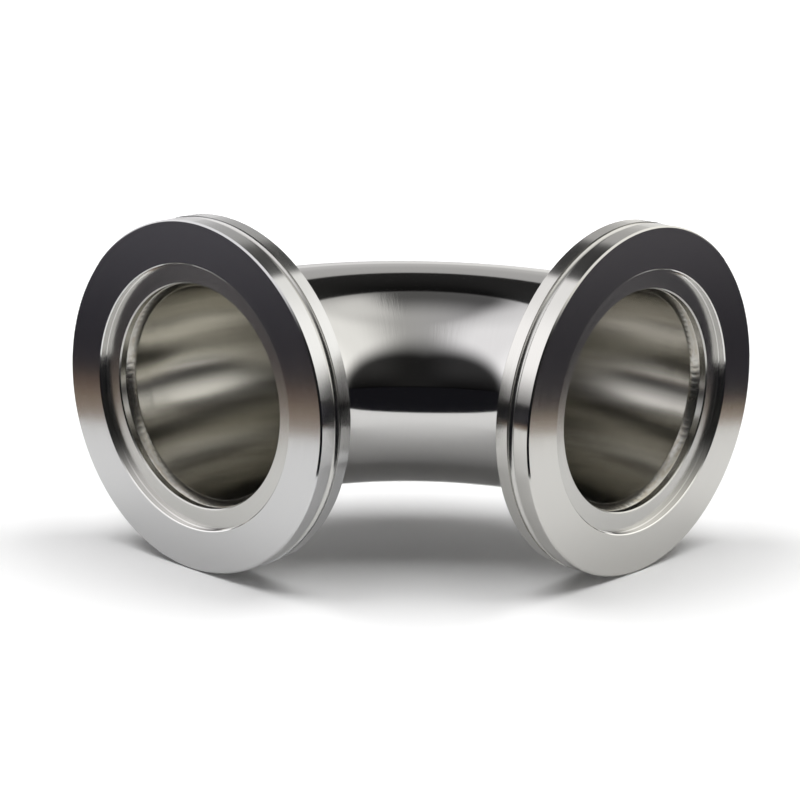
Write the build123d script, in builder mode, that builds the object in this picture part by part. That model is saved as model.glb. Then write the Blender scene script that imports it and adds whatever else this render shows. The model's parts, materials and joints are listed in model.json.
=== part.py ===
from build123d import *
import os

os.makedirs("parts", exist_ok=True)

# A 90 degree vacuum elbow: one bent tube that is slipped into two turned clamp flanges
# and sealed to each by a bead run round the inside.
# The origin is the middle of the front flange's sealing face. +Y runs from there into the
# tube, the side flange faces +X, and the plane of the bend is level, with +Z up.
# Sizes are in millimetres.

# Clamp flange, the same at both ends
flange_diameter = 110.0
flange_thickness = 13.0
edge_chamfer = 0.5

# Recess in the sealing face that seats a centring ring
recess_diameter = 83.0
recess_depth = 2.5
recess_chamfer = 0.3
bore_chamfer = 0.4

# Half-round groove in the rim, for the snap ring of a loose bolt ring
rim_groove_radius = 1.35
rim_groove_setback = 6.9

# Half-round groove in the back, for the tips of the claw clamps
claw_groove_radius = 1.5
claw_groove_circle = 99.0

# Bent tube
tube_diameter = 70.0
tube_wall = 1.5
bend_radius = 84.0
tangent_length = 1.0

# Fit of the tube in the flange
slip_clearance = 0.1
socket_depth = 5.0

# Bead that seals the end of the tube to the bore: its length along the bore, and how far
# its face bulges
bead_length = 3.0
bead_bulge = 0.12

# Sizes that follow from the ones above
flange_radius = flange_diameter / 2
recess_radius = recess_diameter / 2
tube_radius = tube_diameter / 2
tube_bore_radius = tube_radius - tube_wall
bore_radius = tube_radius + slip_clearance
tube_end = flange_thickness - socket_depth
bend_start = flange_thickness + tangent_length
face_to_axis = bend_start + bend_radius

# Each port has a section plane through its axis: local x runs from the sealing face into
# the flange, local y is the distance from the axis.
front_section = Plane(origin=(0, 0, 0), x_dir=(0, 1, 0), z_dir=(1, 0, 0))
side_section = Plane(origin=(face_to_axis, face_to_axis, 0), x_dir=(-1, 0, 0), z_dir=(0, 1, 0))
ports = {"front": front_section, "side": side_section}


def port_axis(section):
    return Axis(section.origin, section.x_dir)


def turned_flange(section):
    """Flange ring, turned from one blank."""
    with BuildPart() as ring:
        with BuildSketch(section):
            with BuildLine():
                Polyline(
                    (0, recess_radius + recess_chamfer),
                    (recess_chamfer, recess_radius),
                    (recess_depth, recess_radius),
                    (recess_depth, bore_radius + bore_chamfer),
                    (recess_depth + bore_chamfer, bore_radius),
                    (flange_thickness, bore_radius),
                    (flange_thickness, flange_radius - edge_chamfer),
                    (flange_thickness - edge_chamfer, flange_radius),
                    (edge_chamfer, flange_radius),
                    (0, flange_radius - edge_chamfer),
                    close=True,
                )
            make_face()
            with Locations((rim_groove_setback, flange_radius)):
                Circle(rim_groove_radius, mode=Mode.SUBTRACT)
            with Locations((flange_thickness, claw_groove_circle / 2)):
                Circle(claw_groove_radius, mode=Mode.SUBTRACT)
        revolve(axis=port_axis(section))
    return ring


def inner_bead(section):
    """Weld bead in the corner between the flange's bore and the end of the tube."""
    bore_toe = (tube_end - bead_length, bore_radius)
    tube_toe = (tube_end, tube_bore_radius)
    with BuildPart() as bead:
        with BuildSketch(section):
            with BuildLine():
                Polyline(bore_toe, (tube_end, bore_radius), tube_toe)
                SagittaArc(tube_toe, bore_toe, bead_bulge)
            make_face()
        revolve(axis=port_axis(section))
    return bead


# The tube is one length, bent on a mandrel, with a short straight at each end
with BuildPart() as bent_tube:
    with BuildLine(Plane.XY) as centre_line:
        front_straight = Line((0, tube_end), (0, bend_start))
        bend = RadiusArc(
            front_straight @ 1,
            (bend_radius, face_to_axis),
            bend_radius,
        )
        Line(bend @ 1, (face_to_axis - tube_end, face_to_axis))
    with BuildSketch(Plane(origin=(0, tube_end, 0), z_dir=(0, 1, 0))):
        Circle(tube_radius)
        Circle(tube_bore_radius, mode=Mode.SUBTRACT)
    sweep(path=centre_line.line)
bent_tube.part.label = "bent_tube"
export_step(bent_tube.part, "parts/bent_tube.step")

for port_name, port_section in ports.items():
    flange = turned_flange(port_section)
    flange.part.label = port_name + "_flange"
    export_step(flange.part, "parts/" + flange.part.label + ".step")

    bead = inner_bead(port_section)
    bead.part.label = port_name + "_weld_bead"
    export_step(bead.part, "parts/" + bead.part.label + ".step")
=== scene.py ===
import json
import math

import bpy
from mathutils import Matrix, Vector


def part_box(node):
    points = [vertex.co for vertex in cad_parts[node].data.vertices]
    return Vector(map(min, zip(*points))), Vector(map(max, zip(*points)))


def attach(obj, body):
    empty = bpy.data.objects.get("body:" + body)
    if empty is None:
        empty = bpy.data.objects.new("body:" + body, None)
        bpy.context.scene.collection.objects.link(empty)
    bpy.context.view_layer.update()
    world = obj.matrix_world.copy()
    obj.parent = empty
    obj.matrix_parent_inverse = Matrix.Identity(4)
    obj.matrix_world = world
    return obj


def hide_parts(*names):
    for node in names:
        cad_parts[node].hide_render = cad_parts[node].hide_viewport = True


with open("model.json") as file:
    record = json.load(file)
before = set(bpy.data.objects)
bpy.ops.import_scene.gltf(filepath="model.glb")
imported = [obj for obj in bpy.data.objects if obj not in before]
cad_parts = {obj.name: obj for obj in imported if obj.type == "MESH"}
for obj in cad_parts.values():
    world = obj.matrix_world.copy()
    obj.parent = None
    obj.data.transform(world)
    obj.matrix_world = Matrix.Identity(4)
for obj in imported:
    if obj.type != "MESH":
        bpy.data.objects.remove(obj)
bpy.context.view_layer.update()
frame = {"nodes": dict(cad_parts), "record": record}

# Lengths are in metres. Angles are in degrees up here, and in radians in the materials.
# Every size of the elbow is read from the frame, or is one of these three.
MM = 0.001
bend_radius = 84 * MM
bead_length = 3 * MM
bead_bulge = 0.12 * MM

nodes = frame["nodes"]
mounts = {mount["name"]: mount for mount in frame["record"]["mounts"]}
tube_low, tube_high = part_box("bent_tube")
flange_radius = mounts["front_rim"]["dims"]["r_mm"] * MM
recess_radius = mounts["front_recess"]["dims"]["r_mm"] * MM
tube_radius = tube_high.z
tube_end = tube_low.y
bore_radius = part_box("front_weld_bead")[1].z
face_to_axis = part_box("side_flange")[1].x
bend_start = face_to_axis - bend_radius
ground = -flange_radius

# The axes of the two bores cross here
crossing = Vector((0.0, face_to_axis, 0.0))

# Camera: the side it looks from, its distance, and how far it stands off the line through
# the crossing
view_azimuth = 42.2
view_elevation = 15.7
view_roll = 1.33
view_distance = 0.9887
aim_right = -0.0027
aim_up = -0.0186
lens_mm = 135.6

# The set, turned to face the camera: a white sheet on a dark table, in a round light tent.
# The sheet's sides spread as they go away from the camera, by sheet_spread per metre.
set_azimuth = 45.0
sheet_half_width = 0.24
sheet_spread = 0.23
sheet_front = 0.164
table_reach = 2.9
table_lift = 0.2 * MM
tent_radius = 3.0

# Two softboxes light the floor from above; the metal shows the tent, the sheet and the table
softbox_size = 0.9
softbox_side = 0.5
softbox_height = 1.3
softbox_watts = 12.5


class Signal:
    """A number that varies over a surface, worked out by shader nodes."""

    def __init__(self, graph, socket):
        self.graph = graph
        self.socket = socket

    def __add__(self, other):
        return self.graph.math("ADD", self, other)

    def __radd__(self, other):
        return self.graph.math("ADD", other, self)

    def __sub__(self, other):
        return self.graph.math("SUBTRACT", self, other)

    def __rsub__(self, other):
        return self.graph.math("SUBTRACT", other, self)

    def __mul__(self, other):
        return self.graph.math("MULTIPLY", self, other)

    def __rmul__(self, other):
        return self.graph.math("MULTIPLY", other, self)

    def __truediv__(self, other):
        return self.graph.math("DIVIDE", self, other)

    def __abs__(self):
        return self.graph.math("ABSOLUTE", self)

    def at_least(self, other):
        return self.graph.math("MAXIMUM", self, other)

    def at_most(self, other):
        return self.graph.math("MINIMUM", self, other)

    def ramp(self, start, end, low=0.0, high=1.0):
        """Smooth step from low, where this is at start, to high, where it is at end."""
        node = self.graph.add("ShaderNodeMapRange", interpolation_type="SMOOTHSTEP")
        for socket, value in zip(node.inputs, (self, start, end, low, high)):
            self.graph.feed(socket, value)
        return Signal(self.graph, node.outputs[0])


class Graph:
    """The node tree of one new material."""

    def __init__(self, name):
        self.material = bpy.data.materials.new(name)
        self.material.use_nodes = True
        self.tree = self.material.node_tree
        self.tree.nodes.clear()

    def add(self, kind, **settings):
        node = self.tree.nodes.new(kind)
        for key, value in settings.items():
            setattr(node, key, value)
        return node

    def feed(self, target, value):
        """Join a signal or a node's output to a socket, or set the socket to a constant."""
        if isinstance(value, Signal):
            value = value.socket
        if isinstance(value, bpy.types.NodeSocket):
            self.tree.links.new(value, target)
        else:
            target.default_value = value

    def math(self, operation, a, b=0.0):
        node = self.add("ShaderNodeMath", operation=operation)
        self.feed(node.inputs[0], a)
        self.feed(node.inputs[1], b)
        return Signal(self, node.outputs[0])

    def length(self, a, b):
        return self.math("SQRT", a * a + b * b)

    def angle(self, a, b):
        return self.math("ARCTAN2", a, b)

    def place(self, unit=False):
        """The point's own coordinates in its object, or its direction from the object's middle."""
        source = self.add("ShaderNodeTexCoord").outputs["Object"]
        if unit:
            direction = self.add("ShaderNodeVectorMath", operation="NORMALIZE")
            self.feed(direction.inputs[0], source)
            source = direction.outputs[0]
        split = self.add("ShaderNodeSeparateXYZ")
        self.feed(split.inputs[0], source)
        return [Signal(self, socket) for socket in split.outputs]

    def noise(self, x, y=0.0, z=0.0, detail=2.0, rough=0.5):
        """Soft noise from 0 to 1 with a grain of about 1 in each of its coordinates."""
        join = self.add("ShaderNodeCombineXYZ")
        for socket, value in zip(join.inputs, (x, y, z)):
            self.feed(socket, value)
        node = self.add("ShaderNodeTexNoise")
        self.feed(node.inputs["Vector"], join.outputs[0])
        node.inputs["Scale"].default_value = 1.0
        node.inputs["Detail"].default_value = detail
        node.inputs["Roughness"].default_value = rough
        return Signal(self, node.outputs[0])

    def blend(self, share, low, high):
        """Colour from low to high as share goes from 0 to 1."""
        node = self.add("ShaderNodeMix", data_type="RGBA")
        self.feed(node.inputs[0], share)
        for socket, colour in ((node.inputs[6], low), (node.inputs[7], high)):
            self.feed(socket, (*colour, 1.0) if isinstance(colour, tuple) else colour)
        return node.outputs[2]

    def seen(self):
        """1 for a ray from the camera, a reflection or a see-through surface, else 0."""
        rays = self.add("ShaderNodeLightPath").outputs
        kinds = ["Is Camera Ray", "Is Glossy Ray", "Is Transmission Ray"]
        camera, glossy, through = [Signal(self, rays[kind]) for kind in kinds]
        return camera.at_least(glossy).at_least(through)

    def emission(self, colour, strength):
        node = self.add("ShaderNodeEmission")
        self.feed(node.inputs["Color"], (*colour, 1.0) if isinstance(colour, tuple) else colour)
        self.feed(node.inputs["Strength"], strength)
        return node.outputs[0]

    def finish(self, shader):
        output = self.add("ShaderNodeOutputMaterial")
        self.feed(output.inputs["Surface"], shader)
        return self.material


def tent_material():
    """Light of the tent by direction; +Y is away from the camera, +X to its right."""
    g = Graph("light_tent")
    x, y, z = g.place(unit=True)
    sideways = abs(x)
    # bright walls at both sides, a dimmer roof, and a back wall that fades upwards
    side_wall = z.ramp(-0.05, 0.34, 0.3, 1.7) * sideways.ramp(0.6, 0.85, 0.82, 1.0)
    side_wall = side_wall * z.ramp(0.82, 1.0, 1.0, 0.7)
    roof = y.ramp(-0.35, 0.15, 0.62, 0.14)
    back_wall = z.ramp(0.0, 0.5, 1.05, 0.62)
    middle = roof + y.ramp(0.2, 0.7) * (back_wall - roof)
    # the dim middle lies a little to the right; high up it is a little to the left
    high = z.ramp(0.88, 0.97)
    seam = abs(x - 0.08 + 0.12 * high).ramp(0.05 + 0.1 * high, 0.48 - 0.15 * high)
    walls = middle + seam * (side_wall - middle)
    # the open mouth that the camera looks in through is an oval, softer at its top
    oval = g.length(x / 0.76, z / 0.68) + y.ramp(-0.2, 0.0)
    mouth = oval.ramp(0.64 + 0.45 * sideways, 1.25 - 0.15 * sideways, 0.035, 1.0)
    # an oval opening high up at the back
    opening = g.length((x - 0.02) / 0.5, (g.angle(z, y) - 1.015) / 0.29)
    opening = opening.ramp(0.94, 1.06, 0.045, 1.0)
    above_table = z.ramp(-0.02, 0.01)
    # the left wall is a little cooler than the right one
    tint = g.blend(x.ramp(-0.3, 0.3), (0.99, 0.98, 1.0), (1.0, 0.99, 0.955))
    # the tent is bright in reflections, and gives the floor only a faint light
    reflected = Signal(g, g.add("ShaderNodeLightPath").outputs["Is Glossy Ray"])
    lit = walls * mouth * opening * above_table * (0.12 + 0.88 * reflected)
    material = g.finish(g.emission(tint, lit))
    material.cycles.emission_sampling = "NONE"
    return material


def sheet_material():
    """Matt white paper, with a lift that brings it to full white away from the elbow, and painted
    light on it beside the flanges.
    """
    g = Graph("white_sheet")
    x, y = g.place()[:2]
    reach = g.length(x, y)
    # painted light: a little glow on the floor beside the flanges that thins their shadow, then a
    # large lift towards full white
    lift = reach.ramp(0.1, 0.16, 0.04, 0.11) + reach.ramp(0.2, 0.65, 0.0, 0.6)
    paper = g.add("ShaderNodeBsdfDiffuse")
    paper.inputs["Color"].default_value = (0.9, 0.9, 0.9, 1.0)
    both = g.add("ShaderNodeAddShader")
    g.feed(both.inputs[0], paper.outputs[0])
    g.feed(both.inputs[1], g.emission((1.0, 1.0, 1.0), g.seen() * lift))
    return g.finish(both.outputs[0])


def table_material():
    """Dark table round the sheet, with a warm brown board along the sheet's sides."""
    g = Graph("dark_table")
    x, y = g.place()[:2]
    beyond = abs(x) - sheet_half_width - sheet_spread * y
    far = g.blend(beyond.ramp(0.1, 0.4), (0.040, 0.038, 0.046), (0.12, 0.115, 0.13))
    board = g.blend(beyond.ramp(0.0, 0.05), (0.44, 0.36, 0.29), (0.26, 0.18, 0.13))
    # the board is half as wide on the right; before the sheet the table is near black
    width = x.ramp(-0.1, 0.1, 1.0, 0.5)
    side = g.blend(beyond.ramp(0.03 * width, 0.08 * width), board, far)
    beside = y.ramp(-0.185, -0.165) * beyond.ramp(-0.03, 0.0)
    colour = g.blend(beside, (0.012, 0.012, 0.015), side)
    return g.finish(g.emission(colour, 1.0))


def flat_mesh(name, corners, faces, material):
    mesh = bpy.data.meshes.new(name)
    mesh.from_pydata(corners, [], faces)
    mesh.materials.append(material)
    made = bpy.data.objects.new(name, mesh)
    bpy.context.scene.collection.objects.link(made)
    return made


def build_floor(on_ground):
    """White floor, and the dark table that covers it beyond the sheet in reflections."""
    far = table_reach
    corners = [(-far, -far, 0), (far, -far, 0), (far, far, 0), (-far, far, 0)]
    floor = flat_mesh("white_sheet", corners, [(0, 1, 2, 3)], sheet_material())

    front = -sheet_front
    lift = table_lift
    near_side = sheet_half_width + sheet_spread * front
    far_side = sheet_half_width + sheet_spread * far
    corners = [
        (-far, -far, lift), (far, -far, lift), (far, front, lift), (-far, front, lift),
        (-far, far, lift), (-far_side, far, lift), (-near_side, front, lift),
        (near_side, front, lift), (far_side, far, lift), (far, far, lift),
    ]
    faces = [(0, 1, 2, 7, 6, 3), (3, 6, 5, 4), (7, 2, 9, 8)]
    table = flat_mesh("dark_table", corners, faces, table_material())
    table.visible_camera = False
    table.visible_diffuse = False
    table.visible_shadow = False
    table.visible_transmission = False
    for made in (floor, table):
        made.matrix_world = on_ground


def build_softbox(name, right, on_ground):
    """Square lamp above the floor, aimed at the point below the crossing."""
    lamp = bpy.data.lights.new(name, "AREA")
    lamp.shape = "SQUARE"
    lamp.size = softbox_size
    lamp.energy = softbox_watts
    softbox = bpy.data.objects.new(name, lamp)
    bpy.context.scene.collection.objects.link(softbox)
    place = Vector((right, 0.0, softbox_height))
    aim = place.to_track_quat("Z", "Y").to_matrix().to_4x4()
    softbox.matrix_world = on_ground @ Matrix.Translation(place) @ aim
    softbox.visible_camera = False
    softbox.visible_glossy = False


def build_tent(turn):
    bpy.ops.mesh.primitive_uv_sphere_add(segments=64, ring_count=32, radius=tent_radius)
    tent = bpy.context.object
    tent.name = "light_tent"
    tent.data.materials.append(tent_material())
    tent.matrix_world = Matrix.Translation(crossing) @ turn
    tent.visible_camera = False


def build_set():
    turn = Matrix.Rotation(math.radians(set_azimuth), 4, "Z")
    on_ground = Matrix.Translation((crossing.x, crossing.y, ground)) @ turn
    build_floor(on_ground)
    build_softbox("left_softbox", -softbox_side, on_ground)
    build_softbox("right_softbox", softbox_side, on_ground)
    build_tent(turn)


def build_world():
    """White to the camera and to reflections; it gives the elbow no light."""
    world = bpy.data.worlds.new("studio")
    bpy.context.scene.world = world
    world.use_nodes = True
    tree = world.node_tree
    background = tree.nodes["Background"]
    background.inputs["Color"].default_value = (1.0, 1.0, 1.0, 1.0)
    rays = tree.nodes.new("ShaderNodeLightPath").outputs
    strength = rays["Is Camera Ray"]
    for kind in ("Is Glossy Ray", "Is Transmission Ray"):
        either = tree.nodes.new("ShaderNodeMath")
        either.operation = "MAXIMUM"
        tree.links.new(strength, either.inputs[0])
        tree.links.new(rays[kind], either.inputs[1])
        strength = either.outputs[0]
    tree.links.new(strength, background.inputs["Strength"])


def build_camera():
    azimuth = math.radians(view_azimuth)
    elevation = math.radians(view_elevation)
    roll = math.radians(view_roll)
    back = Vector((
        math.sin(azimuth) * math.cos(elevation),
        -math.cos(azimuth) * math.cos(elevation),
        math.sin(elevation),
    ))
    level = Vector((math.cos(azimuth), math.sin(azimuth), 0.0))
    upright = back.cross(level)
    right = level * math.cos(roll) + upright * math.sin(roll)
    up = upright * math.cos(roll) - level * math.sin(roll)
    place = crossing + back * view_distance + right * aim_right + up * aim_up
    data = bpy.data.cameras.new("camera")
    data.lens = lens_mm
    data.sensor_width = 36.0
    camera = bpy.data.objects.new("camera", data)
    bpy.context.scene.collection.objects.link(camera)
    turn = Matrix((right, up, back)).transposed().to_4x4()
    camera.matrix_world = Matrix.Translation(place) @ turn
    bpy.context.scene.camera = camera


def port_place(g, port):
    """Distance from the port's axis, depth behind its sealing face, and angle round it."""
    x, y, z = g.place()
    if port == "front":
        return g.length(x, z), y, g.angle(z, x)
    across = y - face_to_axis
    return g.length(across, z), face_to_axis - x, g.angle(z, across)


def tube_place(g):
    """Distance from the tube's centre line, angle round it, and length along it."""
    # inward and onward are both above zero within the bend; one is below zero on a straight
    x, y, z = g.place()
    inward = bend_radius - x
    onward = y - bend_start
    reach = g.length(inward.at_least(0.0), onward.at_least(0.0))
    across = reach - bend_radius
    along = g.angle(onward.at_least(0.0), inward.at_least(0.0)) * bend_radius
    along = along + onward.at_most(0.0) - inward.at_most(0.0)
    return g.length(across, z), g.angle(z, across), along


def steel(g, colour, roughness, height=None, depth=0.0, anisotropy=0.0, axis=None):
    """Bare metal; its relief is height times depth, and axis is the one it is turned about."""
    node = g.add("ShaderNodeBsdfPrincipled")
    node.inputs["Metallic"].default_value = 1.0
    g.feed(node.inputs["Base Color"], colour)
    g.feed(node.inputs["Roughness"], roughness)
    if axis:
        node.inputs["Anisotropic"].default_value = anisotropy
        node.inputs["Anisotropic Rotation"].default_value = 0.25
        tangent = g.add("ShaderNodeTangent", direction_type="RADIAL")
        tangent.axis = axis
        g.feed(node.inputs["Tangent"], tangent.outputs[0])
    if height is not None:
        bump = g.add("ShaderNodeBump")
        bump.inputs["Strength"].default_value = 1.0
        bump.inputs["Distance"].default_value = depth
        g.feed(bump.inputs["Height"], height)
        g.feed(node.inputs["Normal"], bump.outputs[0])
    return g.finish(node.outputs[0])


def turned_steel(port):
    """Satin face and rim with fine tool lines; duller in the recess and the rim groove, with
    painted shade there, and a painted highlight on the recess wall.
    """
    g = Graph(port + "_turned_steel")
    radius, depth, turn = port_place(g, port)
    sweep = radius + depth
    lines = g.noise(sweep / (0.35 * MM), turn * 0.6, detail=3.0, rough=0.65)
    wide_lines = g.noise(sweep / (3 * MM), turn * 0.3, 5.0)
    inside = radius.ramp(recess_radius + 0.1 * MM, recess_radius + 0.3 * MM, 1.0, 0.0)
    # the rim groove and the outer part of the back
    grooves = radius.ramp(flange_radius - 0.7 * MM, flange_radius - 0.3 * MM, 1.0, 0.0)
    grooves = grooves * radius.ramp(flange_radius - 5 * MM, flange_radius - 3 * MM)
    grooves = grooves * depth.ramp(0.6 * MM, 1.0 * MM)
    dull_and_painted_shade = inside.at_least(grooves)
    # the wall of the recess is smoother than its floor, and its colour is painted brighter than
    # the steel: a painted reflection
    smooth_wall_painted_bright = inside * radius.ramp(recess_radius - 0.3 * MM, recess_radius - 0.1 * MM)
    steel_colour = (0.53, 0.53, 0.53) if port == "front" else (0.55, 0.542, 0.518)
    # painted shade: the recess floor, the bore and the rim groove are coloured a little darker
    # than the face
    colour = g.blend(dull_and_painted_shade, steel_colour, (0.50, 0.495, 0.475))
    colour = g.blend(smooth_wall_painted_bright, colour, (0.74, 0.735, 0.72))
    colour = g.blend(lines * 0.12, colour, (0.30, 0.295, 0.285))
    roughness = 0.14 + 0.08 * dull_and_painted_shade + 0.05 * (wide_lines - 0.5) + 0.06 * (lines - 0.5)
    roughness = roughness - 0.12 * smooth_wall_painted_bright
    axis = "Y" if port == "front" else "X"
    return steel(g, colour, roughness, lines, 0.001 * MM, anisotropy=0.6, axis=axis)


def tube_steel():
    """Buffed outside; drawn inside, duller and warmer, with streaks along the tube."""
    g = Graph("tube_steel")
    out, turn, along = tube_place(g)
    inside = out.ramp(tube_radius - 1.0 * MM, tube_radius - 0.6 * MM, 1.0, 0.0)
    buffing = g.noise(along / (1.4 * MM), turn * 3.5, 0.0, detail=3.0, rough=0.6)
    # a patch on the inner side of the bend, above its middle, is less finely buffed
    patch = turn.ramp(1.95, 2.15) * turn.ramp(2.5, 2.75, 1.0, 0.0)
    patch = patch * along.ramp(0.04, 0.055) * along.ramp(0.075, 0.095, 1.0, 0.0)
    clouds = g.noise(along / (16 * MM), turn * 2.2, 2.0, detail=2.0)
    streaks = g.noise(along / (70 * MM), turn * 7.0, 7.0, detail=3.0, rough=0.5)
    outside = g.blend(buffing * 0.15, (0.545, 0.54, 0.53), (0.42, 0.415, 0.405))
    drawn = g.blend(streaks.ramp(0.3, 0.7), (0.45, 0.437, 0.40), (0.53, 0.518, 0.475))
    colour = g.blend(inside, outside, drawn)
    polished = 0.055 + 0.04 * clouds + 0.04 * (buffing - 0.5)
    brushed = 0.19 + 0.08 * (streaks - 0.5)
    roughness = polished + inside * (brushed - polished)
    height = buffing * (0.06 + 0.9 * patch) * (1.0 - inside) + 0.05 * streaks * inside
    return steel(g, colour, roughness, height, 0.02 * MM)


def weld_steel(port):
    """Cleaned weld metal, faintly straw coloured in patches."""
    g = Graph(port + "_weld_metal")
    depth, turn = port_place(g, port)[1:]
    patches = g.noise(turn * 9.0, depth / (1.2 * MM), 1.0, detail=3.0)
    colour = g.blend(patches.ramp(0.35, 0.7), (0.50, 0.49, 0.455), (0.44, 0.41, 0.35))
    return steel(g, colour, 0.16 + 0.16 * patches)


def port_point(port, radius, depth, turn):
    """Point of a port from its distance to the axis, its depth and its angle."""
    across = radius * math.cos(turn)
    up = radius * math.sin(turn)
    if port == "front":
        return (across, depth, up)
    return (face_to_axis - depth, face_to_axis + across, up)


def tube_inner_radius():
    """Radius of the tube's bore, read from the mesh of its end ring."""
    mesh = nodes["bent_tube"].data
    ends = [v.co for v in mesh.vertices if abs(v.co.y - tube_end) < 0.05 * MM]
    return min(math.hypot(co.x, co.z) for co in ends)


def weld_bead(port):
    """Bead with the crescent ripples of a weld run once round the inside."""
    rings = 900
    across = 14
    ripple_count = 96
    ripple_height = 0.035 * MM
    tube_bore = tube_inner_radius()
    points = []
    for ring in range(rings):
        turn = 2 * math.pi * ring / rings
        wander = 0.75 * math.sin(3 * turn) + 0.6 * math.sin(7 * turn + 1)
        for step in range(across + 1):
            share = step / across
            crown = 4 * share * (1 - share)
            wave = 0.5 + 0.5 * math.cos(ripple_count * turn + 2.2 * crown + wander)
            depth = tube_end - bead_length * (1 - share)
            radius = bore_radius + (tube_bore - bore_radius) * share
            radius -= crown * (bead_bulge + ripple_height * wave * wave)
            points.append(port_point(port, radius, depth, turn))
        points.append(port_point(port, bore_radius, tube_end, turn))
    loop = across + 2
    faces = []
    for ring in range(rings):
        here = ring * loop
        there = (ring + 1) % rings * loop
        for step in range(loop):
            following = (step + 1) % loop
            faces.append((here + step, here + following, there + following, there + step))
    mesh = bpy.data.meshes.new(port + "_weld_run")
    mesh.from_pydata(points, [], faces)
    for polygon in mesh.polygons:
        polygon.use_smooth = True
    mesh.materials.append(weld_steel(port))
    made = bpy.data.objects.new(port + "_weld_run", mesh)
    bpy.context.scene.collection.objects.link(made)
    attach(made, "root")
    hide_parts(port + "_weld_bead")


def dress(node, material):
    """Give every slot of a CAD node the same material."""
    for slot in nodes[node].material_slots:
        slot.material = material


build_camera()
build_world()
build_set()
for port in ("front", "side"):
    dress(port + "_flange", turned_steel(port))
    weld_bead(port)
dress("bent_tube", tube_steel())

bpy.context.scene.view_settings.view_transform = "Standard"
